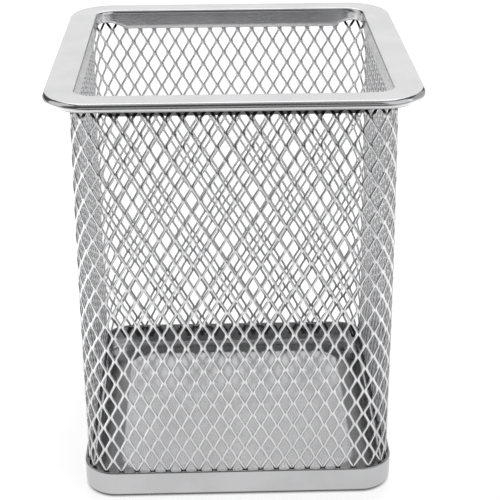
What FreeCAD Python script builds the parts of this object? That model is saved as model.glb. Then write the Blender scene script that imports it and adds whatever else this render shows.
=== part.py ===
# Square desk cup: a sleeve of expanded metal, held between a pressed rim and a pressed base pan.
# Millimetres. +Z is up, the origin is the centre of the underside, and the cup stands on z = 0.
import FreeCAD, Part
import math
import os

# ---- Driving sizes --------------------------------------------------------------------------
cup_height = 98.5            # resting plane to the top of the rim
rim_width = 80.0             # across the rolled edge, the same both ways
rim_corner_radius = 10.0     # outside of the rolled edge, seen from above

rim_sheet = 0.5              # steel of the rim
roll_height = 2.0            # height of the rolled outer edge
roll_steps = 10              # facets from the flange round to the cut edge
collar_height = 4.7          # top of the rim to the lower edge of the collar
collar_bend_radius = 0.9     # flange to collar, on the side that shows
collar_relief_rise = 1.9     # how far the collar's lower edge arches up at a corner
collar_relief_radius = 7.5   # radius of that arch

sleeve_width = 69.8          # outside the mesh at its top edge, the same both ways
sleeve_foot_width = 71.7     # outside the mesh at its bottom edge
sleeve_corner_radius = 6.0   # outside the mesh at its top edge
strand_width = 0.75          # across a strand, in the wall's surface
strand_thickness = 0.42      # through a strand
strand_parting = 0.04        # between the strands that lean left and those that lean right
diamond_width = 3.6          # about this, so that a whole number goes round
diamond_height = 5.96        # about this, so that whole rows go from edge to edge
first_bond = 0.5             # diamonds from the front left corner to the first bond on the top edge
edge_bond_width = 0.9        # bonds along the sleeve's top and bottom edges
edge_bond_height = 1.8
sleeve_top_gap = 1.1         # underside of the flange to the sleeve's top edge
sleeve_foot = 2.7            # resting plane to the sleeve's bottom edge
corner_facets = 4            # straight runs of a strand round one corner

pan_sheet = 0.6              # steel of the base pan
pan_height = 6.7
pan_bend_radius = 1.5        # outside, wall to underside
rest_ring_width = 1.0        # flat ring inside that bend, on which the cup stands
panel_width = 56.8           # flat top of the raised floor panel, the same both ways
panel_rise = 1.3
panel_corner_radius = 6.4

bend_steps = 4               # facets in a right-angle bend, and in each quarter turn of the roll

fit_clearance = 0.05         # sleeve to collar, and sleeve to pan wall
flat_volume = 1e-9           # four corners are in one plane if the box that they span is smaller

# ---- What follows from them -----------------------------------------------------------------
sleeve_wall = 2 * strand_thickness + strand_parting
sleeve_half = sleeve_width / 2
sleeve_flare = (sleeve_foot_width - sleeve_width) / 2
collar_outer_half = sleeve_half - sleeve_wall - fit_clearance
collar_inner_half = collar_outer_half - rim_sheet
collar_outer_radius = sleeve_corner_radius - sleeve_wall + fit_clearance
pan_inner_half = sleeve_half + sleeve_flare + fit_clearance
pan_outer_half = pan_inner_half + pan_sheet
pan_outer_radius = sleeve_corner_radius + sleeve_flare + fit_clearance + pan_sheet
flange_underside = cup_height - rim_sheet
sleeve_top = flange_underside - sleeve_top_gap

# The middle of the sleeve's wall is unrolled into one line, measured from the front left corner.
# The sides keep their run all the way down, and the corners open out.
side_run = sleeve_width - 2 * sleeve_corner_radius
middle_radius = sleeve_corner_radius + sleeve_flare / 2 - sleeve_wall / 2
corner_run = math.pi / 2 * middle_radius
girth = 4 * (side_run + corner_run)

top_bond_z = sleeve_top - edge_bond_height / 2
bottom_bond_z = sleeve_foot + edge_bond_height / 2
columns = round(girth / diamond_width)
half_rows = round((top_bond_z - bottom_bond_z) / (diamond_height / 2))
while math.gcd(columns, half_rows) > 1:      # keeps every strand in the one sheet
    columns += 1
column_pitch = girth / columns


# ---- Plan shapes ----------------------------------------------------------------------------
def rounded_square(half, radius, z):
    """Closed wire with four equal sides and round corners."""
    straight = half - radius
    edges = []
    for quarter in range(4):
        turn = FreeCAD.Rotation(FreeCAD.Vector(0, 0, 1), 90 * quarter)
        middle = straight + radius * math.sqrt(0.5)
        start, end = FreeCAD.Vector(-straight, -half, z), FreeCAD.Vector(straight, -half, z)
        arc = FreeCAD.Vector(middle, -middle, z), FreeCAD.Vector(half, -straight, z)
        if straight > 0:
            edges.append(Part.makeLine(turn.multVec(start), turn.multVec(end)))
        edges.append(Part.Arc(turn.multVec(end), turn.multVec(arc[0]), turn.multVec(arc[1])).toShape())
    return Part.Wire(edges)


def stack(levels):
    """Solid through rounded squares, each given by its half width, corner radius and height."""
    return Part.makeLoft([rounded_square(*level) for level in levels], True, True)


def slab(half, radius, bottom, top):
    """Solid block of a rounded square."""
    return stack([(half, radius, bottom), (half, radius, top)])


def bend(radius):
    """Facet corners of a right-angle bend, as distances in from the wall and up from the floor."""
    angles = [math.pi / 2 * step / bend_steps for step in range(bend_steps + 1)]
    return [(radius * (1 - math.sin(angle)), radius * (1 - math.cos(angle))) for angle in angles]


def cup_block(half, radius, bend_radius, bottom, top):
    """Solid block of a rounded square with its lower edge bent round."""
    levels = [(half - inset, radius - inset, bottom + rise) for inset, rise in bend(bend_radius)]
    return stack(levels + [(half, radius, top)])


def ring_of_section(section, half, radius):
    """Carries a section, drawn in the XZ plane with x = 0 at the outer edge, round a rounded square."""
    straight = half - radius
    side = section.copy()
    side.translate(FreeCAD.Vector(half, -straight, 0))
    run = side.extrude(FreeCAD.Vector(0, 2 * straight, 0))
    side.translate(FreeCAD.Vector(0, 2 * straight, 0))
    corner = side.revolve(FreeCAD.Vector(straight, straight, 0), FreeCAD.Vector(0, 0, 1), 90)
    pieces = []
    for quarter in range(4):
        for piece in (run, corner):
            turned = piece.copy()
            turned.rotate(FreeCAD.Vector(), FreeCAD.Vector(0, 0, 1), 90 * quarter)
            pieces.append(turned)
    return pieces[0].multiFuse(pieces[1:])


# ---- Rim ------------------------------------------------------------------------------------
def rolled_edge():
    """The rim's outer edge: sheet rolled outwards and under into a hook."""
    outer, inner = roll_height / 2, roll_height / 2 - rim_sheet
    centre = FreeCAD.Vector(-outer, 0, cup_height - outer)

    def at(radius, step):
        angle = math.pi / 2 * (1 - step / bend_steps)
        return centre + FreeCAD.Vector(radius * math.cos(angle), 0, radius * math.sin(angle))

    points = [at(outer, step) for step in range(roll_steps + 1)]
    points += [at(inner, step) for step in range(roll_steps, -1, -1)]
    section = Part.Face(Part.makePolygon(points + points[:1]))
    return ring_of_section(section, rim_width / 2, rim_corner_radius)


def collar_reliefs(lower_edge):
    """One cylinder along each diagonal, which arches the collar's lower edge at its corner."""
    reach = rim_width
    drop = collar_relief_radius - collar_relief_rise
    cutters = []
    for quarter in range(4):
        angle = math.radians(45 + 90 * quarter)
        out = FreeCAD.Vector(math.cos(angle), math.sin(angle), 0)
        base = out * (collar_inner_half / 2) + FreeCAD.Vector(0, 0, lower_edge - drop)
        cutters.append(Part.makeCylinder(collar_relief_radius, reach, base, out))
    return cutters


def collar_opening(lower_edge):
    """The way through the rim, flared at the top by the bend from the flange into the collar."""
    radius = collar_outer_radius - rim_sheet
    levels = [(collar_inner_half, radius, lower_edge - 1)]
    for inset, rise in reversed(bend(collar_bend_radius)):
        levels.append((collar_inner_half + inset, radius + inset, cup_height - rise))
    return stack(levels)


def top_rim():
    """Flat flange with a rolled outer edge and a collar turned down inside the sleeve."""
    lower_edge = cup_height - collar_height
    flange_half = rim_width / 2 - roll_height / 2
    flange_radius = rim_corner_radius - roll_height / 2
    flange = slab(flange_half, flange_radius, flange_underside, cup_height)
    collar = slab(collar_outer_half, collar_outer_radius, lower_edge, flange_underside)
    sheet = flange.fuse([collar, rolled_edge()])
    cutters = [collar_opening(lower_edge)] + collar_reliefs(lower_edge)
    return sheet.cut(cutters).removeSplitter()


# ---- Base pan -------------------------------------------------------------------------------
def base_pan():
    """Pressed tray whose floor slopes up to a raised panel, so that it stands on the ring round the slope."""
    outside = cup_block(pan_outer_half, pan_outer_radius, pan_bend_radius, 0, pan_height)
    inside_radius, inside_bend = pan_outer_radius - pan_sheet, pan_bend_radius - pan_sheet
    inside = cup_block(pan_inner_half, inside_radius, inside_bend, pan_sheet, pan_height + 1)
    tray = outside.cut(inside)

    foot_half, top_half = pan_outer_half - pan_bend_radius - rest_ring_width, panel_width / 2
    foot = foot_half, panel_corner_radius + foot_half - top_half
    top = top_half, panel_corner_radius
    raised = stack([(*foot, pan_sheet), (*top, pan_sheet + panel_rise)])
    hollow = stack([(*foot, 0), (*top, panel_rise)])
    return tray.fuse(raised).cut(hollow).removeSplitter()


# ---- Sleeve ---------------------------------------------------------------------------------
def on_wall(distance, depth, z):
    """Point at a distance round the middle of the wall, a depth below its outer face."""
    side, along = divmod(distance % girth, side_run + corner_run)
    opened = sleeve_flare * (sleeve_top - z) / (sleeve_top - sleeve_foot)
    reach = sleeve_corner_radius + opened - depth
    turn = max(0.0, along - side_run) / middle_radius
    x = min(along, side_run) - side_run / 2 + reach * math.sin(turn)
    y = -side_run / 2 - reach * math.cos(turn)
    return FreeCAD.Rotation(FreeCAD.Vector(0, 0, 1), 90 * side).multVec(FreeCAD.Vector(x, y, z))


def stops(start, end):
    """Distances at which a strand from start to end needs a section, round each corner it meets."""
    low, high = min(start, end), max(start, end)
    found = [start, end]
    first = math.floor(low / (side_run + corner_run)) - 1
    last = math.ceil(high / (side_run + corner_run)) + 1
    for side in range(first, last):
        for facet in range(corner_facets + 1):
            place = side * (side_run + corner_run) + side_run + corner_run * facet / corner_facets
            if low + strand_width / 2 < place < high - strand_width / 2:
                found.append(place)
    return sorted(found, reverse=end < start)


def wall_section(distance, outer_depth, inner_depth, z, height):
    """Corners of an upright rectangle through the wall."""
    low, high = z - height / 2, z + height / 2
    corners = [(outer_depth, low), (outer_depth, high), (inner_depth, high), (inner_depth, low)]
    return [on_wall(distance, depth, level) for depth, level in corners]


def flat_faces(corners):
    """One face through four corners, or two triangles where they aren't in one plane."""
    a, b, c, d = corners
    if abs((b - a).cross(c - a).dot(d - a)) < flat_volume:
        return [Part.Face(Part.makePolygon([a, b, c, d, a]))]
    return [Part.Face(Part.makePolygon([a, b, c, a])), Part.Face(Part.makePolygon([a, c, d, a]))]


def skin(sections):
    """Faces that join each section to the next."""
    faces = []
    for near, far in zip(sections, sections[1:]):
        for corner in range(4):
            after = (corner + 1) % 4
            faces += flat_faces([near[corner], near[after], far[after], far[corner]])
    return faces


def strand(column, lean, outer_depth):
    """Sides of a strand, from the middle of its bond on the top edge to that of one on the bottom edge."""
    start = (column + first_bond) * column_pitch
    end = start + lean * half_rows * column_pitch / 2
    fall = (top_bond_z - bottom_bond_z) / abs(end - start)
    upright = strand_width * math.hypot(1, fall)
    inset = lean * edge_bond_width / 2
    sections = [wall_section(start, 0, sleeve_wall, top_bond_z, edge_bond_height)]
    for distance in stops(start + inset, end - inset):
        z = top_bond_z - fall * abs(distance - start)
        sections.append(wall_section(distance, outer_depth, outer_depth + strand_thickness, z, upright))
    sections.append(wall_section(end, 0, sleeve_wall, bottom_bond_z, edge_bond_height))
    return skin(sections)


def mesh_sleeve():
    """Diamond mesh of one sheet: strands that lean both ways, tied by bonds along the two edges."""
    faces = []
    for column in range(columns):
        faces += strand(column, 1, 0)
        faces += strand(column, -1, strand_thickness + strand_parting)
    return Part.makeSolid(Part.makeShell(faces))


# ---- Files ----------------------------------------------------------------------------------
os.makedirs("parts", exist_ok=True)
for name, shape in {"mesh_sleeve": mesh_sleeve(), "top_rim": top_rim(), "base_pan": base_pan()}.items():
    shape.exportStep("parts/" + name + ".step")
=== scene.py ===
import math

import bpy
import bmesh
from mathutils import Euler, Matrix, Vector, noise


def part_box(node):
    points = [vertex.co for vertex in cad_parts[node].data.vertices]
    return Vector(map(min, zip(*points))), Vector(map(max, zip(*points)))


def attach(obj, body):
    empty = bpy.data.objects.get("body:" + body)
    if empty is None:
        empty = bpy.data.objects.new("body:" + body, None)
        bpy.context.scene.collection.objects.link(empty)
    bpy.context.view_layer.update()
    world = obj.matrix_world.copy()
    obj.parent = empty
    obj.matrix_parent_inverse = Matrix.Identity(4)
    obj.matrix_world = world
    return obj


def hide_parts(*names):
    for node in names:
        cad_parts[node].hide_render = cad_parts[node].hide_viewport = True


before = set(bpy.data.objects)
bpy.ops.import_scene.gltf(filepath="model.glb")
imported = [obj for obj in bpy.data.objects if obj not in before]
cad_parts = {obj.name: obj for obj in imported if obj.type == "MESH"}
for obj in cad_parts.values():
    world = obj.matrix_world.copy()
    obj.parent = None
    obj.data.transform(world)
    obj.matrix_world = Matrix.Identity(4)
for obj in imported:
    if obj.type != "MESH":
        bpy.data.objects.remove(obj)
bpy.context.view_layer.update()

MM = 0.001

# ---- Sizes that the CAD gives ---------------------------------------------------------------
rim_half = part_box("top_rim")[1].x
cup_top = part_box("top_rim")[1].z
sleeve_foot_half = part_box("mesh_sleeve")[1].x
sleeve_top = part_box("mesh_sleeve")[1].z
sleeve_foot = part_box("mesh_sleeve")[0].z
pan_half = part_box("base_pan")[1].x
pan_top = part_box("base_pan")[1].z
collar_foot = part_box("top_rim")[0].z

# ---- Sizes that repeat the CAD's ------------------------------------------------------------
rim_corner_radius = 10.0 * MM
rim_sheet = 0.5 * MM
roll_radius = 1.0 * MM
roll_angle = 225                     # from the flange round to the cut edge, in degrees
collar_bend_radius = 0.9 * MM
collar_relief_rise = 1.9 * MM
collar_relief_radius = 7.5 * MM

sleeve_top_half = 34.9 * MM
sleeve_corner_radius = 6.0 * MM      # at the top edge; the corners open out towards the foot
sleeve_wall = 0.88 * MM
edge_bond_height = 1.8 * MM
columns = 75                         # diamonds once round
half_rows = 31                       # between the top edge's bonds and the foot's
first_bond = 0.5                     # diamonds from the front left corner to the first top bond

pan_sheet = 0.6 * MM
pan_bend_radius = 1.5 * MM
rest_ring_width = 1.0 * MM
panel_half = 28.4 * MM
panel_rise = 1.3 * MM
panel_corner_radius = 6.4 * MM
fit_clearance = 0.05 * MM

# ---- Sizes of the looks alone ---------------------------------------------------------------
ribbon_width = 0.62 * MM             # one strand; a bond is two of them side by side
ribbon_thickness = 0.42 * MM
ribbon_edge = 0.17 * MM              # rounding of a strand's edges under the paint
top_bond_length, foot_bond_length = 0.85 * MM, 0.5 * MM
bond_tilt = math.radians(-3)         # below zero, a bond's left side stands out of the wall
strand_pull = 0.11                   # share of its drop that a strand runs straight from its bonds
mesh_spread = 0.4 * MM               # how far the sheet is pulled aside, half way up a wall
mesh_bow = 0.3 * MM                  # how far each wall bows out, half way up
mesh_waver = 0.12 * MM               # unevenness over several diamonds
mesh_jitter = 0.05 * MM              # and from one bond to the next
waver_scale, jitter_scale = 50, 1100     # of the noise behind these two, per metre
unevenness_seed = 1                  # the clock seeds mathutils' noise_vector unless this does
slope_bend_radius = 2.5 * MM         # middle of the sheet, at the slope's foot and top

# ---- How finely the shapes are drawn --------------------------------------------------------
strand_steps = 4
corner_steps = 16                    # in a quarter turn of a piece's plan
roll_steps, collar_bend_steps, collar_steps = 30, 10, 4
slope_bend_steps, pan_bend_steps = 5, 12
rim_edge_steps, pan_edge_steps = 4, 6        # round a sheet's cut edge
corner_stops = [stop * MM for stop in (0.4, 0.9, 1.5, 2.5, 5.0)]     # from a corner, on a straight
panel_stops = [stop * MM for stop in (8, 4, 2, 1)]                   # from the panel's edge

# ---- What follows from them -----------------------------------------------------------------
sleeve_flare = sleeve_foot_half - sleeve_top_half
side_run = 2 * (sleeve_top_half - sleeve_corner_radius)
middle_radius = sleeve_corner_radius + sleeve_flare / 2 - sleeve_wall / 2
quarter_girth = side_run + math.pi / 2 * middle_radius
column_pitch = 4 * quarter_girth / columns
top_bond_z = sleeve_top - edge_bond_height / 2
half_row = (sleeve_top - sleeve_foot - edge_bond_height) / half_rows

collar_outer_half = sleeve_top_half - sleeve_wall - fit_clearance
collar_inner_half = collar_outer_half - rim_sheet
collar_corner_radius = sleeve_corner_radius - sleeve_wall + fit_clearance - rim_sheet / 2
collar_straight = collar_outer_half - rim_sheet / 2 - collar_corner_radius
pan_corner_radius = sleeve_corner_radius + sleeve_flare + fit_clearance + pan_sheet
pan_bend_half = pan_half - pan_bend_radius
slope_foot_half = pan_bend_half - rest_ring_width
slope_run = slope_foot_half - panel_half


# ---- Bent sheet -----------------------------------------------------------------------------
def arc(centre, radius, start, end, steps):
    """Points of an arc in the section's plane, out from the axis and up, with angles in degrees."""
    angles = [math.radians(start + (end - start) * step / steps) for step in range(steps + 1)]
    return [Vector((centre[0] + radius * math.cos(angle), centre[1] + radius * math.sin(angle)))
            for angle in angles]


def ease(a, b, t):
    """From a to b as t goes from 0 to 1, flat at both ends."""
    t = min(1.0, max(0.0, t))
    return a + (b - a) * t * t * (3 - 2 * t)


def sheet_section(path, thickness, edge_steps):
    """Section of sheet along its middle line: one side, the round cut edge, the other side."""
    sides = []
    for i, point in enumerate(path):
        along = (path[min(i + 1, len(path) - 1)] - path[max(i - 1, 0)]).normalized()
        sides.append(Vector((-along.y, along.x)) * thickness / 2)
    section = [point + side for point, side in zip(path, sides)]
    along = (path[-1] - path[-2]).normalized()
    for step in range(1, edge_steps):
        turn = math.pi * step / edge_steps
        side = sides[-1] * math.cos(turn)
        section.append(path[-1] + side + along * thickness / 2 * math.sin(turn))
    section += [point - side for point, side in reversed(list(zip(path, sides)))]
    return section


def ring(half, radius, z):
    """Points once round a rounded square, anticlockwise seen from above."""
    straight = half - radius
    stops = [straight - stop for stop in corner_stops]
    points = [(-straight, -half)] + [(-x, -half) for x in stops]
    points += [(x, -half) for x in reversed(stops)] + [(straight, -half)]
    for step in range(1, corner_steps):
        angle = math.pi / 2 * step / corner_steps
        points.append((straight + radius * math.sin(angle), -straight - radius * math.cos(angle)))
    turned = []
    for quarter in range(4):
        for x, y in points:
            turned.append(Vector((x, y, z)))
            x, y = -y, x
        points = [(-y, x) for x, y in points]
    return turned


def loft(name, rings, closed):
    """Mesh object through rings of points: closed end to start, or with a flat face at each end."""
    bm = bmesh.new()
    loops = [[bm.verts.new(point) for point in points] for points in rings]
    for near, far in zip(loops, loops[1:] + loops[:1] if closed else loops[1:]):
        for i in range(len(near)):
            j = (i + 1) % len(near)
            bm.faces.new((near[i], near[j], far[j], far[i]))
    if not closed:
        bm.faces.new(loops[0])
        bm.faces.new(loops[-1])
    bmesh.ops.recalc_face_normals(bm, faces=bm.faces)
    return mesh_object(name, bm)


def mesh_object(name, bm, flat_faces=True):
    """Smooth-shaded object, whose larger faces look flat unless told otherwise."""
    mesh = bpy.data.meshes.new(name)
    bm.to_mesh(mesh)
    bm.free()
    for polygon in mesh.polygons:
        polygon.use_smooth = True
    obj = bpy.data.objects.new(name, mesh)
    bpy.context.scene.collection.objects.link(obj)
    if flat_faces:
        obj.modifiers.new("face_weighted_shading", "WEIGHTED_NORMAL")
    return obj


# ---- Rim ------------------------------------------------------------------------------------
def rim_radius(out):
    """Corner radius at a distance out from the axis: rounder at the collar than a plain offset."""
    share = (rim_half - roll_radius - out) / (rim_half - roll_radius - collar_outer_half)
    tight = collar_outer_half - rim_sheet / 2
    rounder = collar_corner_radius - (rim_corner_radius - (rim_half - tight))
    return rim_corner_radius - (rim_half - out) + ease(0, rounder, share)


def relieved(point):
    """The collar's lower edge arches up at each corner."""
    bend_foot = cup_top - collar_bend_radius
    flange_half = rim_half - 2 * roll_radius
    if point.z >= bend_foot or abs(point.x) > flange_half or abs(point.y) > flange_half:
        return point
    aside = abs(abs(point.x) - abs(point.y)) / math.sqrt(2)
    drop = collar_relief_radius - collar_relief_rise
    rise = max(0.0, math.sqrt(max(0.0, collar_relief_radius ** 2 - aside ** 2)) - drop)
    share = (bend_foot - point.z) / (bend_foot - collar_foot)
    return Vector((point.x, point.y, point.z + rise * share))


def make_rim():
    """Flange with a rolled outer edge and a collar turned down inside the sleeve."""
    roll_centre = rim_half - roll_radius, cup_top - roll_radius
    bend_centre = collar_inner_half + collar_bend_radius, cup_top - collar_bend_radius
    path = arc(roll_centre, roll_radius - rim_sheet / 2, 90 - roll_angle, 90, roll_steps)
    path += arc(bend_centre, collar_bend_radius - rim_sheet / 2, 90, 180, collar_bend_steps)
    collar_run = bend_centre[1] - collar_foot - rim_sheet / 2
    path += [Vector((path[-1].x, bend_centre[1] - collar_run * step / collar_steps))
             for step in range(1, collar_steps + 1)]
    section = sheet_section(path, rim_sheet, rim_edge_steps)
    back = sheet_section(list(reversed(path)), rim_sheet, rim_edge_steps)
    section += back[len(path):len(back) - len(path)]     # the cut edge at the roll's end
    rings = [ring(point.x, rim_radius(point.x), point.y) for point in section]
    rings = [[relieved(point) for point in points] for points in rings]
    return loft("rim", rings, closed=True)


# ---- Pan ------------------------------------------------------------------------------------
def pan_radius(out):
    """Corner radius of the pan's plan at a distance out from the axis."""
    if out >= pan_bend_half:
        return pan_corner_radius - (pan_half - out)
    if out >= slope_foot_half:
        share = (pan_bend_half - out) / rest_ring_width
        return ease(pan_corner_radius - pan_bend_radius, panel_corner_radius + slope_run, share)
    return panel_corner_radius + max(0, out - panel_half)


def make_pan():
    """Pressed tray whose floor slopes up from a narrow flat ring to a raised panel."""
    middle = pan_sheet / 2
    slope = math.atan2(panel_rise, slope_run)
    reach = slope_bend_radius * math.tan(slope / 2)
    turn = math.degrees(slope)
    foot_centre = slope_foot_half + reach, middle + slope_bend_radius
    top_centre = panel_half - reach, middle + panel_rise - slope_bend_radius
    path = [Vector((panel_half - stop, panel_rise + middle)) for stop in panel_stops]
    path += arc(top_centre, slope_bend_radius, 90, 90 - turn, slope_bend_steps)
    path += arc(foot_centre, slope_bend_radius, -90 - turn, -90, slope_bend_steps)
    path += arc((pan_bend_half, pan_bend_radius), pan_bend_radius - middle, -90, 0, pan_bend_steps)
    path.append(Vector((pan_half - middle, pan_top - middle)))
    section = sheet_section(path, pan_sheet, pan_edge_steps)
    rings = [ring(point.x, pan_radius(point.x), point.y) for point in section]
    return loft("base_pan_shell", rings, closed=False)


# ---- Mesh sleeve ----------------------------------------------------------------------------
def on_wall(distance, depth, z):
    """Point at a distance round the wall from the front's middle, a depth below its outer face."""
    quarter = round(distance / quarter_girth)
    drop = (sleeve_top - z) / (sleeve_top - sleeve_foot)
    opened = sleeve_flare * drop + mesh_bow * math.sin(math.pi * drop)
    radius = sleeve_corner_radius + opened
    middle = radius - sleeve_wall / 2
    stretch = (side_run + math.pi / 2 * middle) / quarter_girth
    along = (distance - quarter * quarter_girth) * stretch
    turn = max(0.0, abs(along) - side_run / 2) / middle
    x = math.copysign(min(abs(along), side_run / 2) + (radius - depth) * math.sin(turn), along)
    y = -side_run / 2 - (radius - depth) * math.cos(turn)
    for _ in range(quarter % 4):
        x, y = -y, x
    return Vector((x, y, z))


def bond_place(column, row):
    """Where a bond's middle lies in the wall, in a sheet that isn't quite even."""
    distance = (column / 2 + first_bond) * column_pitch - side_run / 2
    z = top_bond_z - row * half_row
    bulge = math.sin(math.pi * (sleeve_top - z) / (sleeve_top - sleeve_foot))
    aside = mesh_spread * bulge * math.sin(2 * math.pi * distance / quarter_girth)
    point = on_wall(distance % (4 * quarter_girth), 0, z)
    stray = noise.noise_vector(point * waver_scale) * mesh_waver
    stray += noise.noise_vector(point * jitter_scale) * mesh_jitter
    return Vector((distance + aside + stray.x, sleeve_wall / 2, z + stray.z * bulge))


# A place in the wall is (distance, depth, z), so across a bond the tilt shows as depth.
across = Vector((math.cos(bond_tilt), -math.sin(bond_tilt), 0))
down = Vector((0, 0, -1))


def ribbon_corners(middle, along):
    """Eight points round a strand's section: outer side, right edge, inner side, left edge."""
    width = (across - along * across.dot(along)).normalized()
    out = along.cross(width)
    a, b, c = ribbon_width / 2, ribbon_thickness / 2, ribbon_edge
    places = [(c - a, b), (a - c, b), (a, b - c), (a, c - b),
              (a - c, -b), (c - a, -b), (-a, c - b), (-a, b - c)]
    return [middle + width * x + out * y for x, y in places]


right_edge, left_edge = 2, 6         # where these edges start among the eight points


def bond_tip(column, row, end):
    """Middle of a bond's top (-1) or foot (1). Bonds get shorter down the wall."""
    share = row / half_rows
    length = top_bond_length * (1 - share) + foot_bond_length * share
    return bond_place(column, row) + down * (end * length / 2)


def bond_end(column, row, end):
    """Places round a bond's section at its top (-1) or foot (1), for its left and right strands."""
    centre = bond_tip(column, row, end)
    left = ribbon_corners(centre - across * ribbon_width / 2, down)
    right = ribbon_corners(centre + across * ribbon_width / 2, down)
    outer = (left[1] + right[0]) / 2
    inner = (left[4] + right[5]) / 2
    return left[:2] + [outer, inner] + left[4:], right[:6] + [inner, outer]


def strand_rings(column, row, lean):
    """Rings of places along a strand, from a bond's foot to the next bond down on that side."""
    aside = across * (lean * ribbon_width / 2)
    upper = bond_tip(column, row, 1) + aside
    lower = bond_tip(column + lean, row + 1, -1) - aside
    pull = down * (upper.z - lower.z) * strand_pull
    a, b, c, d = upper, upper + pull, lower - pull, lower
    rings = []
    for step in range(1, strand_steps):
        t = step / strand_steps
        s = 1 - t
        middle = a * s**3 + b * 3 * s * s * t + c * 3 * s * t * t + d * t**3
        along = ((b - a) * s * s + (c - b) * 2 * s * t + (d - c) * t * t).normalized()
        rings.append(ribbon_corners(middle, along))
    return rings


def make_sleeve():
    """Expanded metal: strands between bonds, each a pair of strands that were never slit apart.

    Each wall is a mesh of its own, and a strand that leaves it is closed where it meets the next.
    """
    noise.seed_set(unevenness_seed)
    walls = [bmesh.new() for _ in range(4)]

    def points(wall, places):
        return [walls[wall].verts.new(on_wall(place.x, place.y, place.z)) for place in places]

    def tube(wall, near, far, skipped=None):
        for i in range(8):
            j = (i + 1) % 8
            if i != skipped:
                walls[wall].faces.new((near[i], near[j], far[j], far[i]))

    bonds = {}
    for row in range(half_rows + 1):
        for column in range(row % 2, 2 * columns, 2):
            wall = round(bond_place(column, row).x / quarter_girth) % 4
            ends = []
            for end in (-1, 1):
                left, right = bond_end(column, row, end)
                left = points(wall, left)
                right = points(wall, right[:6]) + [left[3], left[2]]
                ends += [left, right]
            tube(wall, ends[0], ends[2], skipped=right_edge)
            tube(wall, ends[1], ends[3], skipped=left_edge)
            bonds[column, row] = wall, ends

    for (column, row), (wall, ends) in bonds.items():
        if row == half_rows:
            continue
        for lean, near in ((-1, ends[2]), (1, ends[3])):
            for places in strand_rings(column, row, lean):
                far = points(wall, places)
                tube(wall, near, far)
                near = far
            side = 1 if lean < 0 else 0
            next_wall, next_ends = bonds[(column + lean) % (2 * columns), row + 1]
            if next_wall == wall:
                tube(wall, near, next_ends[side])
            else:
                tube(wall, near, points(wall, bond_end(column + lean, row + 1, -1)[side]))

    made = []
    for name, bm in zip(("front", "right", "back", "left"), walls):
        closed = bmesh.ops.holes_fill(bm, edges=bm.edges, sides=0)
        for face in closed["faces"]:
            for edge in face.edges:
                edge.smooth = False
        bmesh.ops.recalc_face_normals(bm, faces=bm.faces)
        made.append(mesh_object("sleeve_" + name, bm, flat_faces=False))
    return made


# ---- Finishes -------------------------------------------------------------------------------
# The pan's silver is darker than the rim's, partly as painted shade for the inside of the cup.
bright_silver, darker_silver = (0.78, 0.78, 0.79), (0.68, 0.68, 0.69)
dark_cloud, light_cloud = 0.95, 1.04         # what the clouds in the paint do to its colour
smoother, rougher = 0.04, 0.05               # what the flake does to its roughness
clouds, flake, peel = (90, 3), (2600, 2), (1500, 3)      # features per metre, and their detail
noise_low, noise_high = 0.3, 0.7             # the middle span of a noise
peel_strength, peel_height = 0.12, 0.02 * MM

# Painted shade: the near black colour and roughness it turns to, and how far each shaded place goes
# towards it.
painted_shade_colour, painted_shade_roughness = (0.02, 0.02, 0.02, 1), 0.6
lip_inner_shade, lip_outer_shade, slope_shade = 0.85, 0.35, 0.45
collar_shade, roll_shade = 0.7, 0.42


def combine(tree, operation, a, b=None):
    """Socket of a maths node on sockets or numbers."""
    node = tree.nodes.new("ShaderNodeMath")
    node.operation = operation
    for socket, value in zip(node.inputs, (a, b)):
        if isinstance(value, bpy.types.NodeSocket):
            tree.links.new(value, socket)
        elif value is not None:
            socket.default_value = value
    return node.outputs[0]


def ramp(tree, value, start, end, low=0.0, high=1.0):
    """Socket that goes smoothly from low to high as a value goes from start to end."""
    node = tree.nodes.new("ShaderNodeMapRange")
    node.interpolation_type = "SMOOTHSTEP"
    for name, number in (("From Min", start), ("From Max", end), ("To Min", low), ("To Max", high)):
        node.inputs[name].default_value = number
    tree.links.new(value, node.inputs["Value"])
    return node.outputs["Result"]


def place_in(tree):
    """Sockets of the place on the object, and of its three parts."""
    place = tree.nodes.new("ShaderNodeTexCoord").outputs["Object"]
    split = tree.nodes.new("ShaderNodeSeparateXYZ")
    tree.links.new(place, split.inputs["Vector"])
    return place, *split.outputs


def distance_from(tree, place, point):
    """Socket of a place's distance from a point."""
    node = tree.nodes.new("ShaderNodeVectorMath")
    node.operation = "DISTANCE"
    tree.links.new(place, node.inputs[0])
    node.inputs[1].default_value = point
    return node.outputs["Value"]


def past_square(tree, x, y, half):
    """Socket of the distance from a square round the axis, half its width given."""
    squares = []
    for along in (x, y):
        past = combine(tree, "SUBTRACT", combine(tree, "ABSOLUTE", along), half)
        past = combine(tree, "MAXIMUM", past, 0.0)
        squares.append(combine(tree, "MULTIPLY", past, past))
    return combine(tree, "SQRT", combine(tree, "ADD", *squares))


def mesh_painted_shade(tree, x, y, z):
    """Painted shade on the sleeve, from 0 to 1: under the rim, and where its strands enter the pan.
    """
    under_rim = ramp(tree, z, collar_foot - 0.6 * MM, collar_foot + 0.4 * MM)
    in_lip = ramp(tree, z, pan_top, pan_top - 0.3 * MM, 0, lip_inner_shade)
    return combine(tree, "MAXIMUM", under_rim, in_lip)


def rim_painted_shade(tree, x, y, z):
    """Painted shade on the rim, from 0 to 1: on the collar's outer face, and on the underside of
    the roll.
    """
    past = past_square(tree, x, y, collar_straight)
    outer_face = ramp(tree, past, collar_corner_radius, collar_corner_radius + 0.1 * MM)
    roll_foot = cup_top - 2 * roll_radius
    collar = ramp(tree, z, roll_foot, roll_foot - roll_radius / 2, 0, collar_shade)
    roll = ramp(tree, z, cup_top - roll_radius, roll_foot, 0, roll_shade)
    return combine(tree, "MULTIPLY", outer_face, combine(tree, "MAXIMUM", collar, roll))


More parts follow.
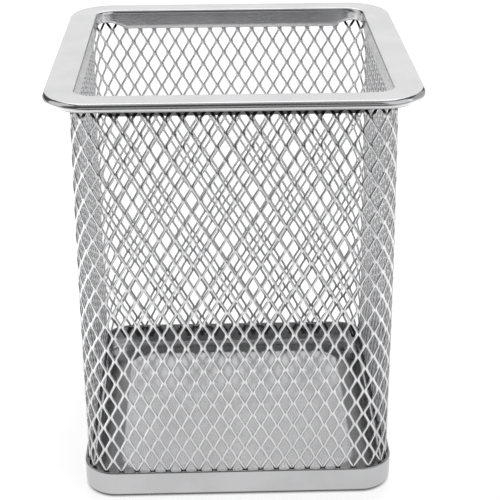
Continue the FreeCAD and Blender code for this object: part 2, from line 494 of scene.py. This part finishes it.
def pan_painted_shade(tree, x, y, z):
    """Painted shade on the pan, from 0 to 1: on its lip, over the highlight there, and in a band on
    the slope round the panel.
    """
    lip = ramp(tree, z, pan_top - 0.4 * MM, pan_top - 0.2 * MM, 0, lip_outer_shade)
    past = past_square(tree, x, y, panel_half - panel_corner_radius)
    slope_top, slope_foot = panel_corner_radius, panel_corner_radius + slope_run
    slope_shade_band = ramp(tree, past, slope_top - 0.4 * MM, slope_top + 0.3 * MM, 0, slope_shade)
    inside = ramp(tree, past, slope_foot, slope_foot + rest_ring_width, 1, 0)
    return combine(tree, "MAXIMUM", lip, combine(tree, "MULTIPLY", slope_shade_band, inside))


def silver_paint(name, colour, roughness, painted_shade_on):
    """Satin metallic paint: fine flake, a little cloudiness and orange peel, darkened and made
    rougher where shade is painted on.
    """
    material = bpy.data.materials.new(name)
    material.use_nodes = True
    tree = material.node_tree
    nodes, links = tree.nodes, tree.links
    shader = nodes["Principled BSDF"]
    shader.inputs["Metallic"].default_value = 1.0
    place, x, y, z = place_in(tree)

    def grain(scale, detail):
        node = nodes.new("ShaderNodeTexNoise")
        node.inputs["Scale"].default_value = scale
        node.inputs["Detail"].default_value = detail
        links.new(place, node.inputs["Vector"])
        return node.outputs["Fac"]

    tint = nodes.new("ShaderNodeMix")
    tint.data_type = "RGBA"
    tint.inputs["A"].default_value = [c * dark_cloud for c in colour] + [1]
    tint.inputs["B"].default_value = [min(1, c * light_cloud) for c in colour] + [1]
    links.new(ramp(tree, grain(*clouds), noise_low, noise_high), tint.inputs["Factor"])
    # Painted shade: the colour is mixed towards near black where the mask says.
    shade_mix = nodes.new("ShaderNodeMix")
    shade_mix.data_type = "RGBA"
    shade_mix.inputs["B"].default_value = painted_shade_colour
    amount = painted_shade_on(tree, x, y, z)
    links.new(amount, shade_mix.inputs["Factor"])
    links.new(tint.outputs["Result"], shade_mix.inputs["A"])
    links.new(shade_mix.outputs["Result"], shader.inputs["Base Color"])
    smooth, rough = roughness - smoother, roughness + rougher
    unshaded_roughness = ramp(tree, grain(*flake), noise_low, noise_high, smooth, rough)
    shaded_roughness = combine(tree, "MULTIPLY", amount, painted_shade_roughness)
    links.new(combine(tree, "MAXIMUM", unshaded_roughness, shaded_roughness), shader.inputs["Roughness"])

    bump = nodes.new("ShaderNodeBump")
    bump.inputs["Strength"].default_value = peel_strength
    bump.inputs["Distance"].default_value = peel_height
    links.new(grain(*peel), bump.inputs["Height"])
    links.new(bump.outputs["Normal"], shader.inputs["Normal"])
    return material


def dress(obj, node, material):
    """Paint a piece, and let it stand in for its CAD node."""
    obj.data.materials.append(material)
    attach(obj, "root")
    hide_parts(node)


# ---- Studio ---------------------------------------------------------------------------------
floor_half = 4.0
floor_colour = (0.9, 0.9, 0.9, 1)
floor_glow = 0.64                            # for the camera alone, so that the floor is white
glow_gone, glow_full = -1.0 * MM, 0.3 * MM   # this far out from the pan's outline
dark_place = (0.05, -0.7, 0)                 # middle of the dark floor on the camera's side
world_glow, world_seen = 0.07, 1.0

# Name, place, width, height and radiance of each lamp.
lamps = (
    ("back_light", (0.0, 1.2, 0.38), 1.2, 1.1, 0.84),
    ("high_back_light", (0.0, 0.68, 0.99), 0.8, 0.6, 1.5),
    ("top_light", (0.0, 0.0, 1.3), 0.9, 0.9, 0.35),
    ("right_light", (1.0, 0.4, 0.4), 1.4, 0.9, 0.35),
    ("right_front_light", (0.75, -0.5, 0.65), 1.2, 1.3, 0.65),
    ("front_light", (0.0, -1.2, 0.36), 1.3, 0.5, 0.28),
    ("left_light", (-0.9, 0.0, 0.65), 0.9, 1.3, 0.6),
)

# The camera was fitted to the cup's edges in the photograph. Angles are in radians.
camera_place = (-3.77 * MM, -286.99 * MM, 182.37 * MM)
camera_pitch, camera_heading, camera_roll = 0.44115, 0.02672, 0.00511
camera_lens, camera_sensor = 92.495, 36.0
camera_clip = 0.01


def make_floor():
    """Wide white floor that keeps a soft shadow."""
    bm = bmesh.new()
    bmesh.ops.create_grid(bm, x_segments=1, y_segments=1, size=floor_half)
    mesh = bpy.data.meshes.new("floor")
    bm.to_mesh(mesh)
    bm.free()
    floor = bpy.data.objects.new("floor", mesh)
    bpy.context.scene.collection.objects.link(floor)

    material = bpy.data.materials.new("white_floor")
    material.use_nodes = True
    tree = material.node_tree
    nodes, links = tree.nodes, tree.links
    nodes.remove(nodes["Principled BSDF"])
    rays = nodes.new("ShaderNodeLightPath").outputs
    place, x, y, _ = place_in(tree)

    # Seen straight, the floor is white. Its glow stops under the pan: a painted contact shadow,
    # which the pan's lower bend mirrors as a dark line.
    past = past_square(tree, x, y, pan_half - pan_corner_radius)
    beyond_contact_shadow = ramp(tree, past, pan_corner_radius + glow_gone, pan_corner_radius + glow_full)
    seen = combine(tree, "MULTIPLY", rays["Is Camera Ray"], floor_glow)

    # Mirrored in the metal, its brightness is the product of these: where each starts to change,
    # where it stops, and its levels there.
    from_cup = distance_from(tree, place, (0, 0, 0))
    levels = (
        (distance_from(tree, place, dark_place), 0.4, 0.46, 0, 1),       # dark towards the camera
        (from_cup, 0.05, 0.12, 0.8, 1.35),       # painted shadow of the cup close to it, brightest a hand's width out
        (from_cup, 0.2, 0.5, 1, 0.55),
        (y, 0.1, 0.2, 1, 0.62),                  # dimmer behind the cup
        (y, -0.15, -0.06, 0.6, 1),               # and in front of it
        (x, -0.2, 0.2, 1.08, 0.88),              # brighter on the left than on the right
    )
    mirrored = rays["Is Glossy Ray"]
    for value, start, end, low, high in levels:
        mirrored = combine(tree, "MULTIPLY", mirrored, ramp(tree, value, start, end, low, high))
    glow = nodes.new("ShaderNodeEmission")
    both = combine(tree, "ADD", seen, mirrored)
    links.new(combine(tree, "MULTIPLY", both, beyond_contact_shadow), glow.inputs["Strength"])
    card = nodes.new("ShaderNodeBsdfDiffuse")
    tone = nodes.new("ShaderNodeMix")
    tone.data_type = "RGBA"
    tone.inputs["A"].default_value = floor_colour
    tone.inputs["B"].default_value = (0, 0, 0, 1)
    links.new(rays["Is Glossy Ray"], tone.inputs["Factor"])
    links.new(tone.outputs["Result"], card.inputs["Color"])
    total = nodes.new("ShaderNodeAddShader")
    links.new(card.outputs[0], total.inputs[0])
    links.new(glow.outputs[0], total.inputs[1])
    links.new(total.outputs[0], nodes["Material Output"].inputs["Surface"])
    mesh.materials.append(material)


def softbox(name, place, width, height, radiance):
    """Area lamp that faces the cup. Radiance is how bright a mirror shows it, where 1 is white."""
    lamp = bpy.data.lights.new(name, "AREA")
    lamp.shape = "RECTANGLE"
    lamp.size = width
    lamp.size_y = height
    lamp.energy = radiance * math.pi * width * height
    obj = bpy.data.objects.new(name, lamp)
    obj.location = place
    aim = Vector((0, 0, cup_top / 2)) - Vector(place)
    obj.rotation_euler = aim.to_track_quat("-Z", "Y").to_euler()
    obj.visible_camera = False
    bpy.context.scene.collection.objects.link(obj)


def make_world():
    """White to the camera, and dim for everything else."""
    world = bpy.data.worlds.new("studio")
    bpy.context.scene.world = world
    world.use_nodes = True
    nodes, links = world.node_tree.nodes, world.node_tree.links
    sky = nodes["Background"]
    sky.inputs["Color"].default_value = (1, 1, 1, 1)
    rays = nodes.new("ShaderNodeLightPath")
    level = nodes.new("ShaderNodeMapRange")
    level.inputs["To Min"].default_value = world_glow
    level.inputs["To Max"].default_value = world_seen
    links.new(rays.outputs["Is Camera Ray"], level.inputs["Value"])
    links.new(level.outputs["Result"], sky.inputs["Strength"])


def make_camera():
    """The view from a little left of the front's middle, looking down into the cup."""
    camera = bpy.data.cameras.new("camera")
    camera.sensor_width = camera_sensor
    camera.lens = camera_lens
    camera.clip_start = camera_clip
    obj = bpy.data.objects.new("camera", camera)
    obj.location = camera_place
    level = Euler((math.pi / 2 - camera_pitch, 0, -camera_heading)).to_matrix()
    obj.rotation_euler = (level @ Matrix.Rotation(-camera_roll, 3, "Z")).to_euler()
    bpy.context.scene.collection.objects.link(obj)
    bpy.context.scene.camera = obj


# ---- Build ----------------------------------------------------------------------------------
make_camera()
make_world()
make_floor()
for lamp in lamps:
    softbox(*lamp)

mesh_silver = silver_paint("mesh_silver", bright_silver, 0.15, mesh_painted_shade)
rim_silver = silver_paint("rim_silver", bright_silver, 0.14, rim_painted_shade)
pan_silver = silver_paint("pan_silver", darker_silver, 0.16, pan_painted_shade)
for wall in make_sleeve():
    dress(wall, "mesh_sleeve", mesh_silver)
dress(make_rim(), "top_rim", rim_silver)
dress(make_pan(), "base_pan", pan_silver)

bpy.context.scene.view_settings.view_transform = "Standard"
